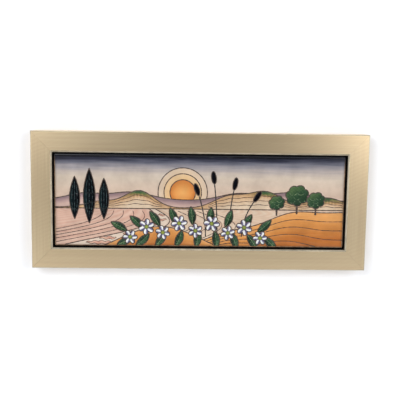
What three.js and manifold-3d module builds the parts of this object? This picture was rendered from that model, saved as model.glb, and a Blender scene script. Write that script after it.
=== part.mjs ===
// Framed art tile: a long glazed tile with a landscape in raised slip lines, floated in a
// flat champagne-gold wooden frame. Millimetres, +Z up, and the front faces -Y.
// The origin is on the wall, at the middle of the top rail's back strip.
import * as THREE from "three";
import { mergeVertices } from "three/addons/utils/BufferGeometryUtils.js";
import Module from "manifold-3d";

const wasm = await Module();
wasm.setup();

// Tile
const TILE_WIDTH = 295;
const TILE_HEIGHT = 94;
const TILE_THICKNESS = 9;
const TILE_CORNER = 1.5;
const RIM_ROUND = 1.3;

// Frame rails
const FACE_WIDTH = 21;
const FRAME_DEPTH = 20;
const OUTER_CHAMFER = 0.8;
const SIGHT_BEVEL = 1.2;
const MITRE_GAP = 0.3;
const REBATE_WIDTH = 5;

// Black lining strips round the tile, and the open gap inside them
const LINING_THICKNESS = 0.8;
const LINING_SETBACK = 1.6;
const TILE_GAP = 0.4;

// Backing board and the clearance that pieces keep where they seat
const BOARD_THICKNESS = 3;
const BOARD_RECESS = 4;
const FIT = 0.3;

// Steel points that hold the board in its rebate
const POINT_LENGTH = 14;
const POINT_WIDTH = 6;
const POINT_THICKNESS = 0.5;
const POINT_GRIP = 6;
const POINT_SPACING = 100;
const LONG_SIDE_POINTS = 3;
const SHORT_SIDE_POINTS = 1;

// Sawtooth hanger and its rivets
const HANGER_LENGTH = 44;
const HANGER_HEIGHT = 9;
const HANGER_THICKNESS = 0.8;
const HANGER_DROP = 16;
const HANGER_FOOT = 7;
const HANGER_STEP = 1.3;
const HANGER_TEETH = 9;
const TOOTH_PITCH = 2.6;
const TOOTH_DEPTH = 1.6;
const RIVET_DIAMETER = 2.4;
const RIVET_HEAD = 4.6;
const RIVET_HEAD_HEIGHT = 0.8;
const RIVET_SINK = 2.4;

// Raised slip lines
const LINE_WIDTH = 1.1;
const LINE_HEIGHT = 0.75;

// The landscape. Places, ridges and banks are shares of the tile's half width and half height.
// A ridge is a base height and soft humps of [height, place, spread].
const HORIZON = -0.17;
const FAR_RIDGE = {
  base: 0.02,
  humps: [[0.17, -0.48, 0.2], [0.13, -0.8, 0.15], [0.15, 0.26, 0.18], [0.19, 0.63, 0.23]],
};
const SAND_RIDGE = {
  base: -0.15,
  humps: [
    [0.37, -0.42, 0.14],
    [0.13, -0.68, 0.14],
    [0.26, 0.2, 0.15],
    [0.37, 0.45, 0.16],
    [0.26, 0.87, 0.18],
  ],
};
const NEAR_HILL = { base: -1, humps: [[0.73, 0.65, 0.31], [0.65, 1.09, 0.27], [0.26, 0.2, 0.23]] };
const MOUND = { base: -1.29, humps: [[0.73, -0.27, 0.42]] };
const SUN_PLACE = [-0.12, 0.19];
const SUN_RADIUS = 13;
const HALO_STEP = 6;

// Cypresses and round trees: a foot and a size beside the largest one's
const CYPRESS_HEIGHT = 56;
const CYPRESS_WIDTH = 12;
const CYPRESSES = [
  { foot: [-0.86, -0.41], size: 0.78 },
  { foot: [-0.76, -0.5], size: 1 },
  { foot: [-0.66, -0.41], size: 0.75 },
];
const CROWN_RADIUS = 12;
const TRUNK_WIDTH = 2.2;
const TREES = [
  { foot: [0.53, -0.3], size: 0.7 },
  { foot: [0.67, -0.26], size: 1 },
  { foot: [0.8, -0.28], size: 0.8 },
];

// Bulrushes: a foot, a size and how far the tip leans for each millimetre of height
const REED_HEIGHT = 54;
const REED_HEAD_LENGTH = 13;
const REED_HEAD_WIDTH = 4.8;
const STEM_WIDTH = 1.3;
const REEDS = [
  { foot: [0.04, -0.77], size: 0.78, lean: -0.17 },
  { foot: [0.12, -0.77], size: 1, lean: -0.06 },
  { foot: [0.2, -0.77], size: 0.89, lean: 0.1 },
  { foot: [0.29, -0.77], size: 0.67, lean: 0.33 },
];

// The garland: flowers along a low arch, each with a leaf above and below it
const FLOWER_COUNT = 9;
const FLOWER_RADIUS = 7.8;
const PETALS = 6;
const EYE_RADIUS = 2.2;
const LEAF_LENGTH = 19;
const LEAF_WIDTH = 7.6;
const LEAF_BEND = 2;
const GARLAND = { left: -0.48, right: 0.42, level: -0.73, arch: 0.15 };

// Lines across the tile are drawn past its edges, to this share of its half size, and cut off there
const OVERRUN = 1.02;

// Sizes that follow from those above; depths are measured forward from the wall
const lining = FIT + LINING_THICKNESS + TILE_GAP;
const openingWidth = TILE_WIDTH + 2 * lining;
const openingHeight = TILE_HEIGHT + 2 * lining;
const frameWidth = openingWidth + 2 * FACE_WIDTH;
const frameHeight = openingHeight + 2 * FACE_WIDTH;
const backStrip = FACE_WIDTH - REBATE_WIDTH;
const boardBack = BOARD_RECESS;
const boardFront = boardBack + BOARD_THICKNESS;
const shoulder = boardFront + FIT;
const tileFace = shoulder + TILE_THICKNESS;
const lineTop = tileFace + LINE_HEIGHT;

const gold = new THREE.MeshStandardMaterial({ color: "#bba685", roughness: 0.38, metalness: 0.85 });
const black = new THREE.MeshStandardMaterial({ color: "#0d0b0b", roughness: 0.7, metalness: 0 });
const glaze = new THREE.MeshStandardMaterial({ color: "#d8c2ad", roughness: 0.12, metalness: 0 });
const fibreboard = new THREE.MeshStandardMaterial({ color: "#8a6848", roughness: 0.85, metalness: 0 });
const steel = new THREE.MeshStandardMaterial({ color: "#b9bbbd", roughness: 0.3, metalness: 1 });
const brass = new THREE.MeshStandardMaterial({ color: "#b8994f", roughness: 0.35, metalness: 1 });

// A closed geometry as a solid that can be cut and joined
function solidOf(geometry) {
  const bare = geometry.clone();
  bare.deleteAttribute("normal");
  bare.deleteAttribute("uv");
  const merged = mergeVertices(bare, 1e-5);
  const mesh = new wasm.Mesh({
    numProp: 3,
    vertProperties: new Float32Array(merged.attributes.position.array),
    triVerts: new Uint32Array(merged.index.array),
  });
  return new wasm.Manifold(mesh);
}

// A solid as a flat-shaded geometry
function geometryOf(solid) {
  const { vertProperties, triVerts } = solid.getMesh();
  const geometry = new THREE.BufferGeometry();
  geometry.setAttribute("position", new THREE.BufferAttribute(vertProperties, 3));
  geometry.setIndex(new THREE.BufferAttribute(triVerts, 1));
  const flat = geometry.toNonIndexed();
  flat.computeVertexNormals();
  return flat;
}

// A named piece from a geometry or a solid
function piece(name, shape, material) {
  const geometry = shape.isBufferGeometry ? shape : geometryOf(shape);
  const mesh = new THREE.Mesh(geometry, material);
  mesh.name = name;
  return mesh;
}

// A flat outline of [x, z] points, stood up between two depths in front of the wall
function prism(points, back, front) {
  const shape = new THREE.Shape(points.map(([x, z]) => new THREE.Vector2(x, z)));
  const geometry = new THREE.ExtrudeGeometry(shape, { depth: front - back, bevelEnabled: false });
  geometry.translate(0, 0, back);
  return geometry.rotateX(Math.PI / 2);
}

// A box between two x, two z and two depths in front of the wall
function block([left, right], [low, high], [back, front]) {
  return prism([[left, low], [right, low], [right, high], [left, high]], back, front);
}

// One mitred rail, lying along X with its outer edge at z = 0 and the picture below it
function railSolid(length) {
  const profile = new THREE.Shape([
    new THREE.Vector2(0, 0),
    new THREE.Vector2(backStrip, 0),
    new THREE.Vector2(backStrip, shoulder),
    new THREE.Vector2(FACE_WIDTH, shoulder),
    new THREE.Vector2(FACE_WIDTH, FRAME_DEPTH - SIGHT_BEVEL),
    new THREE.Vector2(FACE_WIDTH - SIGHT_BEVEL, FRAME_DEPTH),
    new THREE.Vector2(OUTER_CHAMFER, FRAME_DEPTH),
    new THREE.Vector2(0, FRAME_DEPTH - OUTER_CHAMFER),
  ]);
  const geometry = new THREE.ExtrudeGeometry(profile, { depth: 1, bevelEnabled: false });
  const place = geometry.attributes.position;
  for (let i = 0; i < place.count; i++) {
    const fromEdge = place.getX(i);
    const half = length / 2 - fromEdge - MITRE_GAP / Math.SQRT2;
    place.setXYZ(i, (1 - 2 * place.getZ(i)) * half, -place.getY(i), -fromEdge);
  }
  return solidOf(geometry);
}

// The places of the steel points along one side
function pointPlaces(count) {
  return Array.from({ length: count }, (_, i) => (i - (count - 1) / 2) * POINT_SPACING);
}

// One side of the frame: its rail with the slots for the points, its lining strip and its points.
// It is made as the top side and then turned into place.
function frameSide(name, turn, length, span, stripLength, pointCount) {
  const side = new THREE.Group();
  side.rotation.y = turn;
  const edge = new THREE.Group();
  edge.position.z = span / 2;
  side.add(edge);

  const pointFront = boardBack - FIT;
  const pointBack = pointFront - POINT_THICKNESS;
  const tip = POINT_GRIP - backStrip;
  const heel = tip - POINT_LENGTH;
  let rail = railSolid(length);
  for (const at of pointPlaces(pointCount)) {
    const reach = POINT_WIDTH / 2 + FIT;
    const slot = block([at - reach, at + reach], [heel, tip + FIT], [pointBack - FIT, pointFront + FIT]);
    rail = rail.subtract(solidOf(slot));
  }
  edge.add(piece(`frame_rail_${name}`, rail, gold));

  const stripTop = -FACE_WIDTH - FIT;
  const strip = block(
    [-stripLength / 2, stripLength / 2],
    [stripTop - LINING_THICKNESS, stripTop],
    [boardFront + FIT, FRAME_DEPTH - LINING_SETBACK],
  );
  edge.add(piece(`lining_${name}`, strip, black));

  pointPlaces(pointCount).forEach((at, i) => {
    const half = POINT_WIDTH / 2;
    const outline = [[-half, heel], [half, heel], [half, tip - half], [0, tip], [-half, tip - half]];
    const point = piece(`point_${name}_${i + 1}`, prism(outline, pointBack, pointFront), steel);
    point.position.x = at;
    edge.add(point);
  });
  return side;
}

// The board behind the tile, with blind holes for the hanger's rivets
function backingBoard() {
  const halfWidth = openingWidth / 2 + REBATE_WIDTH - FIT;
  const halfHeight = openingHeight / 2 + REBATE_WIDTH - FIT;
  let board = solidOf(block([-halfWidth, halfWidth], [-halfHeight, halfHeight], [boardBack, boardFront]));
  for (const at of rivetPlaces()) {
    const hole = rivetHole(0, boardBack + RIVET_SINK + FIT);
    board = board.subtract(hole.translate(at, 0, hangerHeight()));
  }
  return board;
}

// Where the hanger hangs on the board, and its rivets along it
function hangerHeight() {
  return openingHeight / 2 + REBATE_WIDTH - FIT - HANGER_DROP;
}

function rivetPlaces() {
  const at = (HANGER_LENGTH - HANGER_FOOT) / 2;
  return [-at, at];
}

// A clearance hole for a rivet, between two depths
function rivetHole(back, front) {
  const radius = RIVET_DIAMETER / 2 + FIT;
  const hole = new THREE.CylinderGeometry(radius, radius, front - back, 20);
  hole.translate(0, -(front + back) / 2, 0);
  return solidOf(hole);
}

// The hanger: a pressed strip with teeth along its lower edge and a middle that stands off the board
function sawtoothHanger() {
  const half = HANGER_LENGTH / 2;
  const low = -HANGER_HEIGHT / 2;
  const outline = [[half, -low], [-half, -low], [-half, low]];
  for (let i = 0; i < HANGER_TEETH; i++) {
    const x = (i - HANGER_TEETH / 2) * TOOTH_PITCH;
    outline.push([x, low], [x + TOOTH_PITCH / 2, low + TOOTH_DEPTH]);
  }
  outline.push([(HANGER_TEETH / 2) * TOOTH_PITCH, low], [half, low]);

  const front = boardBack - FIT;
  const bend = half - HANGER_FOOT;
  const middle = bend - HANGER_STEP;
  const strap = [[-half, 0], [-bend, 0], [-middle, HANGER_STEP], [middle, HANGER_STEP], [bend, 0], [half, 0]];
  const boardSide = strap.map(([x, off]) => new THREE.Vector2(x, off - front));
  const wallSide = strap.map(([x, off]) => new THREE.Vector2(x, off - front + HANGER_THICKNESS));
  const section = new THREE.Shape([...boardSide, ...wallSide.reverse()]);
  const bent = new THREE.ExtrudeGeometry(section, { depth: 2 * HANGER_HEIGHT, bevelEnabled: false });
  bent.translate(0, 0, -HANGER_HEIGHT);

  const strip = solidOf(bent).intersect(solidOf(prism(outline, 0, boardBack)));
  const holes = rivetPlaces().map((at) => rivetHole(0, boardBack).translate(at, 0, 0));
  return strip.subtract(wasm.Manifold.union(holes));
}

// A rivet: a low domed head behind the hanger's foot and a shank into the board
function rivet() {
  const headBack = boardBack - FIT - HANGER_THICKNESS - FIT;
  const radius = RIVET_HEAD / 2;
  const profile = [
    new THREE.Vector2(0, -(boardBack + RIVET_SINK)),
    new THREE.Vector2(RIVET_DIAMETER / 2, -(boardBack + RIVET_SINK)),
    new THREE.Vector2(RIVET_DIAMETER / 2, -headBack),
    new THREE.Vector2(radius, -headBack),
    new THREE.Vector2(radius * 0.8, RIVET_HEAD_HEIGHT * 0.65 - headBack),
    new THREE.Vector2(0, RIVET_HEAD_HEIGHT - headBack),
  ];
  return new THREE.LatheGeometry(profile, 20);
}

// A place on the tile, in millimetres from its centre
function spot(shareX, shareZ) {
  return [(shareX * TILE_WIDTH) / 2, (shareZ * TILE_HEIGHT) / 2];
}

// A closed outline moved outward by a distance, or inward by a negative one
function offset(points, distance) {
  const count = points.length;
  return points.map(([x, z], i) => {
    const [beforeX, beforeZ] = points[(i + count - 1) % count];
    const [afterX, afterZ] = points[(i + 1) % count];
    const into = Math.atan2(z - beforeZ, x - beforeX);
    const out = Math.atan2(afterZ - z, afterX - x);
    const half = Math.atan2(Math.sin(out - into), Math.cos(out - into)) / 2;
    const reach = distance / Math.max(Math.cos(half), 0.5);
    const normal = into + half - Math.PI / 2;
    return [x + reach * Math.cos(normal), z + reach * Math.sin(normal)];
  });
}

// A band of even width along an open line
function band(points, width) {
  const side = (sign) =>
    points.map(([x, z], i) => {
      const [backX, backZ] = points[Math.max(i - 1, 0)];
      const [onX, onZ] = points[Math.min(i + 1, points.length - 1)];
      const along = Math.atan2(onZ - backZ, onX - backX);
      const reach = (sign * width) / 2;
      return [x - reach * Math.sin(along), z + reach * Math.cos(along)];
    });
  return [...side(-1), ...side(1).reverse()];
}

function turned(points, angle, [atX, atZ]) {
  const c = Math.cos(angle);
  const s = Math.sin(angle);
  return points.map(([x, z]) => [atX + c * x - s * z, atZ + s * x + c * z]);
}

// A leaf, blade or flame shape along +X; bend carries its tip sideways
function lens(length, width, bend, steps, fullness) {
  const edge = (sign) =>
    Array.from({ length: steps + 1 }, (_, i) => {
      const t = i / steps;
      const half = (width / 2) * Math.max(Math.sin(Math.PI * t), 0) ** fullness;
      return [t * length, bend * t * t + sign * half];
    });
  return [...edge(-1), ...edge(1).slice(1, -1).reverse()];
}

function circle(radius, steps) {
  return Array.from({ length: steps }, (_, i) => {
    const angle = (2 * Math.PI * i) / steps;
    return [radius * Math.cos(angle), radius * Math.sin(angle)];
  });
}

// A round with lobes, such as petals or a clipped crown, that meet in notches
function lobed(radius, lobes, notch, squash) {
  const stepsEach = 4;
  return circle(radius, lobes * stepsEach).map(([x, z], i) => {
    const share = 1 - notch + notch * Math.abs(Math.cos((Math.PI * i) / stepsEach)) ** 0.7;
    return [share * x, share * squash * z];
  });
}

function slipSolid(points) {
  return solidOf(prism(points, tileFace - LINE_HEIGHT, lineTop));
}

// What stands over an outline, deeper and higher than the slip lines, for cutting them
function cutter(points) {
  return solidOf(prism(points, tileFace - 2 * LINE_HEIGHT, lineTop + LINE_HEIGHT));
}

// A motif is the raised lines that it adds and the outline of the area that it hides, if any
function line(points, width = LINE_WIDTH) {
  return { lines: slipSolid(band(points, width)) };
}

function outlined(points) {
  const ring = slipSolid(offset(points, LINE_WIDTH / 2)).subtract(cutter(offset(points, -LINE_WIDTH / 2)));
  return { lines: ring, hides: points };
}

// All below a line across the tile, and the line itself
function ground(top) {
  const hides = [spot(-OVERRUN, -2), spot(OVERRUN, -2), ...[...top].reverse()];
  return { ...line(top), hides };
}

function hill(ridge, steps) {
  const top = Array.from({ length: steps + 1 }, (_, i) => {
    const x = OVERRUN * ((2 * i) / steps - 1);
    const rise = (z, [height, at, spread]) => z + height * Math.exp(-(((x - at) / spread) ** 2));
    return spot(x, ridge.humps.reduce(rise, ridge.base));
  });
  return ground(top);
}

// One bank of the river, winding from the horizon to the tile's lower edge
function riverBank(side) {
  const steps = 12;
  const bank = Array.from({ length: steps + 1 }, (_, i) => {
    const t = i / steps;
    const middle = -0.33 - 0.34 * t + 0.18 * Math.sin(4.2 * t);
    const half = 0.02 + 0.136 * t ** 1.2;
    return spot(middle + side * half, HORIZON - t * (OVERRUN + HORIZON));
  });
  return line(bank);
}

function cypress({ foot, size }) {
  const flame = lens(CYPRESS_HEIGHT * size, CYPRESS_WIDTH * size ** 0.6, 0, 10, 0.9);
  return [outlined(turned(flame, Math.PI / 2, spot(...foot)))];
}

function tree({ foot, size }) {
  const radius = CROWN_RADIUS * size;
  const [x, z] = spot(...foot);
  const crown = turned(lobed(radius, 7, 0.16, 0.88), 0.3, [x, z + 1.6 * radius]);
  return [line([[x, z], [x, z + radius]], TRUNK_WIDTH), outlined(crown)];
}

function bulrush({ foot, size, lean }) {
  const [x, z] = spot(...foot);
  const height = REED_HEIGHT * size;
  const steps = 7;
  const stem = Array.from({ length: steps + 1 }, (_, i) => {
    const t = i / steps;
    return [x + lean * height * t * t, z + height * t];
  });
  const head = lens(REED_HEAD_LENGTH, REED_HEAD_WIDTH, 0, 8, 0.45);
  const upright = Math.PI / 2 - Math.atan(2 * lean);
  return [line(stem, STEM_WIDTH), outlined(turned(head, upright, stem[steps]))];
}

// The leaves fan out from left to right, and the flowers lie over them, high and low in turn
function garland() {
  const shares = Array.from({ length: FLOWER_COUNT }, (_, k) => k / (FLOWER_COUNT - 1));
  const along = (t) =>
    spot(
      GARLAND.left + (GARLAND.right - GARLAND.left) * t,
      GARLAND.level + GARLAND.arch * Math.sin(Math.PI * t),
    );
  const leaves = shares.flatMap((t) => {
    const [x, z] = along(t);
    const fan = Math.PI * (0.8 - 0.6 * t);
    const leaf = (bend) => lens(LEAF_LENGTH, LEAF_WIDTH, bend, 6, 0.8);
    return [
      outlined(turned(leaf(LEAF_BEND), fan, [x - 3, z + 3])),
      outlined(turned(leaf(-LEAF_BEND), -fan, [x + 3, z - 2])),
    ];
  });
  const flowers = shares.flatMap((t, k) => {
    const [x, z] = along(t);
    const high = k % 2 === 1;
    const centre = [x, z + (high ? 5 : -3)];
    const petals = lobed(FLOWER_RADIUS * (high ? 1.05 : 0.95), PETALS, 0.45, 1);
    return [outlined(turned(petals, 0.4 * k, centre)), outlined(turned(circle(EYE_RADIUS, 10), 0, centre))];
  });
  return [...leaves, ...flowers];
}

// All motifs, from the sky at the back to the garland in front
function landscape() {
  const rings = [SUN_RADIUS + 2 * HALO_STEP, SUN_RADIUS + HALO_STEP, SUN_RADIUS];
  return [
    ...rings.map((radius) => outlined(turned(circle(radius, 30), 0, spot(...SUN_PLACE)))),
    hill(FAR_RIDGE, 34),
    hill(SAND_RIDGE, 46),
    ground([spot(-OVERRUN, HORIZON), spot(OVERRUN, HORIZON)]),
    riverBank(-1),
    riverBank(1),
    hill(NEAR_HILL, 30),
    hill(MOUND, 24),
    ...CYPRESSES.flatMap(cypress),
    ...TREES.flatMap(tree),
    ...REEDS.flatMap(bulrush),
    ...garland(),
  ];
}

// The raised lines of all motifs, each one cut away where a nearer motif hides it
function slipLines() {
  const [farthest, ...nearer] = landscape();
  const relief = nearer.reduce(
    (done, { lines, hides }) => (hides ? done.subtract(cutter(hides)) : done).add(lines),
    farthest.lines,
  );
  const right = TILE_WIDTH / 2 - RIM_ROUND;
  const top = TILE_HEIGHT / 2 - RIM_ROUND;
  return relief.intersect(cutter([[-right, -top], [right, -top], [right, top], [-right, top]]));
}

// The tile's body: rounded corners, and a front edge rounded over where the glaze thins
function tileBody() {
  const cornerSteps = 4;
  const rimSteps = 3;
  const outline = (inset) => {
    const radius = Math.max(TILE_CORNER - inset, 0.2);
    const x = TILE_WIDTH / 2 - inset - radius;
    const z = TILE_HEIGHT / 2 - inset - radius;
    const corners = [[x, z, 0], [-x, z, 1], [-x, -z, 2], [x, -z, 3]];
    return corners.flatMap(([cornerX, cornerZ, quarter]) =>
      Array.from({ length: cornerSteps + 1 }, (_, i) => {
        const angle = (Math.PI / 2) * (quarter + i / cornerSteps);
        return [cornerX + radius * Math.cos(angle), cornerZ + radius * Math.sin(angle)];
      }),
    );
  };
  const rings = [{ depth: shoulder, points: outline(0) }];
  for (let i = 0; i <= rimSteps; i++) {
    const angle = (Math.PI / 2) * (i / rimSteps);
    const inset = RIM_ROUND * (1 - Math.cos(angle));
    rings.push({ depth: tileFace - RIM_ROUND * (1 - Math.sin(angle)), points: outline(inset) });
  }

  const count = rings[0].points.length;
  const places = rings.flatMap(({ depth, points }) => points.flatMap(([x, z]) => [x, -depth, z]));
  const faces = [];
  for (let ring = 0; ring + 1 < rings.length; ring++) {
    for (let i = 0; i < count; i++) {
      const a = ring * count + i;
      const b = ring * count + ((i + 1) % count);
      faces.push(a, b, b + count, a, b + count, a + count);
    }
  }
  const last = (rings.length - 1) * count;
  for (let i = 1; i + 1 < count; i++) {
    faces.push(0, i + 1, i, last, last + i, last + i + 1);
  }
  const geometry = new THREE.BufferGeometry();
  geometry.setAttribute("position", new THREE.Float32BufferAttribute(places, 3));
  geometry.setIndex(faces);
  return solidOf(geometry);
}

const tile = new THREE.Group();
tile.position.z = backStrip / 2 - frameHeight / 2;

const sideStrip = openingHeight - 2 * (FIT + LINING_THICKNESS + FIT);
const longStrip = openingWidth - 2 * FIT;
tile.add(frameSide("top", 0, frameWidth, frameHeight, longStrip, LONG_SIDE_POINTS));
tile.add(frameSide("bottom", Math.PI, frameWidth, frameHeight, longStrip, LONG_SIDE_POINTS));
tile.add(frameSide("right", Math.PI / 2, frameHeight, frameWidth, sideStrip, SHORT_SIDE_POINTS));
tile.add(frameSide("left", -Math.PI / 2, frameHeight, frameWidth, sideStrip, SHORT_SIDE_POINTS));

tile.add(piece("tile", tileBody().add(slipLines()), glaze));
tile.add(piece("backing_board", backingBoard(), fibreboard));

const hanger = new THREE.Group();
hanger.position.z = hangerHeight();
hanger.add(piece("sawtooth_hanger", sawtoothHanger(), brass));
rivetPlaces().forEach((at, i) => {
  const pin = piece(`hanger_rivet_${["left", "right"][i]}`, rivet(), brass);
  pin.position.x = at;
  hanger.add(pin);
});
tile.add(hanger);

export default tile;
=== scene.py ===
import math

import bmesh
import bpy
import numpy as np
from mathutils import Matrix, Vector
from mathutils.geometry import delaunay_2d_cdt
from mathutils.kdtree import KDTree


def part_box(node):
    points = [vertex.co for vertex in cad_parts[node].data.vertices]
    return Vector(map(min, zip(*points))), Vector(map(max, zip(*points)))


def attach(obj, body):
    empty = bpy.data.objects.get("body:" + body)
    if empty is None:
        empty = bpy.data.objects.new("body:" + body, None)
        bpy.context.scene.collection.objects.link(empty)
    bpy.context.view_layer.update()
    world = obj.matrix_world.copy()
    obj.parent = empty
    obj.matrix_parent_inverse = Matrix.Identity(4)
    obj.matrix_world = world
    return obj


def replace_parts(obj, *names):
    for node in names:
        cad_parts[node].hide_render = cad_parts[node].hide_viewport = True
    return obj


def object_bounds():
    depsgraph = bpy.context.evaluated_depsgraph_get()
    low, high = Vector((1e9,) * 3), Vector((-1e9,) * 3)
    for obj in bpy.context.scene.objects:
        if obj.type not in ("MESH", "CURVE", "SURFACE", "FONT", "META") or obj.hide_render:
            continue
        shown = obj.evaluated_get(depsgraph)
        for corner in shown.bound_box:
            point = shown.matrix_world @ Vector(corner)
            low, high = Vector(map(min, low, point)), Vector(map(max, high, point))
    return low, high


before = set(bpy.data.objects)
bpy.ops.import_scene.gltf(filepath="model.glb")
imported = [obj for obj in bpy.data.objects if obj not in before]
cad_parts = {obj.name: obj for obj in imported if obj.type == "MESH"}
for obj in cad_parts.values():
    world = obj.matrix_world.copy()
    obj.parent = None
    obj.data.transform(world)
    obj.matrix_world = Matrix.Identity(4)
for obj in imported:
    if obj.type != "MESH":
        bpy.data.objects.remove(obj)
cad_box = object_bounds()
low_corner, high_corner = cad_box

# The wall that the framed tile hangs on, and the floor far below it. The wall is painted white
# and shows from the room side only, so the back of the frame can be seen from behind.
MM = 0.001
WALL_GAP = 0.4 * MM
FLOOR_DROP = 1.1


def srgb(red, green, blue):
    """A colour given as the 0 to 255 values it shows on a screen."""
    shares = [value / 255 for value in (red, green, blue)]
    linear = [s / 12.92 if s <= 0.04045 else ((s + 0.055) / 1.055) ** 2.4 for s in shares]
    return (*linear, 1)


def add(tree, kind, inputs=None, **settings):
    """A shader node with its settings; an input that is a socket is linked, any other is a plain value."""
    node = tree.nodes.new("ShaderNode" + kind)
    for name, value in settings.items():
        setattr(node, name, value)
    for name, value in (inputs or {}).items():
        if isinstance(value, bpy.types.NodeSocket):
            tree.links.new(value, node.inputs[name])
        else:
            node.inputs[name].default_value = value
    return node


def surface(name, colour, values=None):
    """A new material with plain values on its shader; returns the material, its tree and its shader."""
    material = bpy.data.materials.new(name)
    material.use_nodes = True
    shader = material.node_tree.nodes["Principled BSDF"]
    shader.inputs["Base Color"].default_value = colour
    for socket, value in (values or {}).items():
        shader.inputs[socket].default_value = value
    return material, material.node_tree, shader


def one_sided_wall():
    material, tree, shader = surface("white_wall", srgb(231, 232, 235), {"Roughness": 0.9})
    shader.inputs["Specular IOR Level"].default_value = 0.1
    side = add(tree, "NewGeometry")
    clear = add(tree, "BsdfTransparent")
    mix = add(tree, "MixShader", {0: side.outputs["Backfacing"], 1: shader.outputs[0], 2: clear.outputs[0]})
    tree.links.new(mix.outputs[0], tree.nodes["Material Output"].inputs["Surface"])
    return material


def panel(name, corners, material, faces=((0, 1, 2, 3),)):
    mesh = bpy.data.meshes.new(name)
    mesh.from_pydata(corners, [], list(faces))
    mesh.materials.append(material)
    thing = bpy.data.objects.new(name, mesh)
    bpy.context.scene.collection.objects.link(thing)


# The wall is cut out behind the frame, just inside its outline, so that light reaches the back.
WALL_REACH = 1.6
CUT_MARGIN = 1.2 * MM
cut_left, cut_right = low_corner[0] + CUT_MARGIN, high_corner[0] - CUT_MARGIN
cut_low, cut_high = low_corner[2] + CUT_MARGIN, high_corner[2] - CUT_MARGIN
wall_corners = [
    (x, WALL_GAP, z)
    for left, right, low, high in (
        (-WALL_REACH, WALL_REACH, -FLOOR_DROP, WALL_REACH),
        (cut_left, cut_right, cut_low, cut_high),
    )
    for x, z in ((left, low), (right, low), (right, high), (left, high))
]
panel("wall", wall_corners, one_sided_wall(), [(i, (i + 1) % 4, (i + 1) % 4 + 4, i + 4) for i in range(4)])
floor_paint, _, _ = surface("pale_floor", srgb(226, 224, 220), {"Roughness": 0.8})
FLOOR_REACH = 4.0
panel(
    "floor",
    [
        (-FLOOR_REACH, -FLOOR_REACH, -FLOOR_DROP),
        (FLOOR_REACH, -FLOOR_REACH, -FLOOR_DROP),
        (FLOOR_REACH, FLOOR_REACH, -FLOOR_DROP),
        (-FLOOR_REACH, FLOOR_REACH, -FLOOR_DROP),
    ],
    floor_paint,
)

# The camera stands a little above and left of the middle, tipped down, with a slight roll. The
# soft boxes stand above left, to the right, to the left and below, and one lights the back.
CAMERA_PLACE = (-0.0214, -0.7653, 0.0408)
CAMERA_TILT = math.radians(7.67)
CAMERA_TURN = math.radians(-1.63)
CAMERA_ROLL = math.radians(0.85)

camera = bpy.data.objects.new("camera", bpy.data.cameras.new("camera"))
camera.data.lens = 67
camera.data.sensor_width = 36
camera.matrix_world = (
    Matrix.Translation(CAMERA_PLACE)
    @ Matrix.Rotation(CAMERA_TURN, 4, "Z")
    @ Matrix.Rotation(math.pi / 2 - CAMERA_TILT, 4, "X")
    @ Matrix.Rotation(CAMERA_ROLL, 4, "Z")
)
bpy.context.scene.collection.objects.link(camera)
bpy.context.scene.camera = camera
bpy.context.scene.view_settings.view_transform = "Standard"

object_middle = (Vector(low_corner) + Vector(high_corner)) / 2


def softbox(name, azimuth, elevation, distance, width, height, watts):
    """An area light aimed at the object; azimuth 0 is straight in front, negative to the left."""
    light = bpy.data.lights.new(name, "AREA")
    light.shape = "RECTANGLE"
    light.size = width
    light.size_y = height
    light.energy = watts
    lamp = bpy.data.objects.new(name, light)
    turn = math.radians(azimuth)
    lift = math.radians(elevation)
    way = Vector((math.sin(turn) * math.cos(lift), -math.cos(turn) * math.cos(lift), math.sin(lift)))
    lamp.location = object_middle + way * distance
    lamp.rotation_euler = way.to_track_quat("Z", "Y").to_euler()
    bpy.context.scene.collection.objects.link(lamp)


softbox("key_light", -25, 21, 1.6, 0.6, 0.6, 10.5)
softbox("right_light", 36, 14, 1.5, 0.8, 0.8, 8.5)
softbox("left_light", -44, 0, 1.5, 1.2, 1.2, 2.5)
softbox("low_light", 0, -38, 1.5, 2.4, 0.9, 6.2)
softbox("back_light", 148, 30, 1.6, 1.0, 0.8, 12)

# The room is pale on all sides but dim behind the camera, so that little of it mirrors in the glaze.
world = bpy.data.worlds.new("studio")
world.use_nodes = True
room = world.node_tree
depth_way = add(room, "SeparateXYZ", {0: add(room, "TexCoord").outputs["Generated"]}).outputs["Y"]
glow = {"Value": depth_way, "From Min": -0.96, "From Max": -0.66, "To Min": 0.05, "To Max": 0.92}
strength = add(room, "MapRange", glow, interpolation_type="SMOOTHSTEP").outputs["Result"]
room.nodes["Background"].inputs["Color"].default_value = srgb(241, 245, 251)
room.links.new(strength, room.nodes["Background"].inputs["Strength"])
bpy.context.scene.world = world

# Frame rails. Four lengths of flat wooden moulding, foiled in champagne gold on the front, the
# edges and the sight, brushed along their length, then mitred and glued. Their backs are bare wood.
rail_low, rail_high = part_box("frame_rail_top")
side_low, side_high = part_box("frame_rail_left")
FACE_WIDTH = (side_high.x - side_low.x) / MM
RAIL_DEPTH = (rail_high.y - rail_low.y) / MM
FRAME_WIDTH = (high_corner[0] - low_corner[0]) / MM
FRAME_HEIGHT = (high_corner[2] - low_corner[2]) / MM
MIDDLE_Z = object_middle.z / MM
REBATE_WIDTH = 5
REBATE_DEPTH = 7.3
ARRIS = 0.5
SIGHT_BEVEL = 1.2
MITRE_GAP = 0.11
FOIL, BARE, WORN = 0, 1, 2


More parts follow.
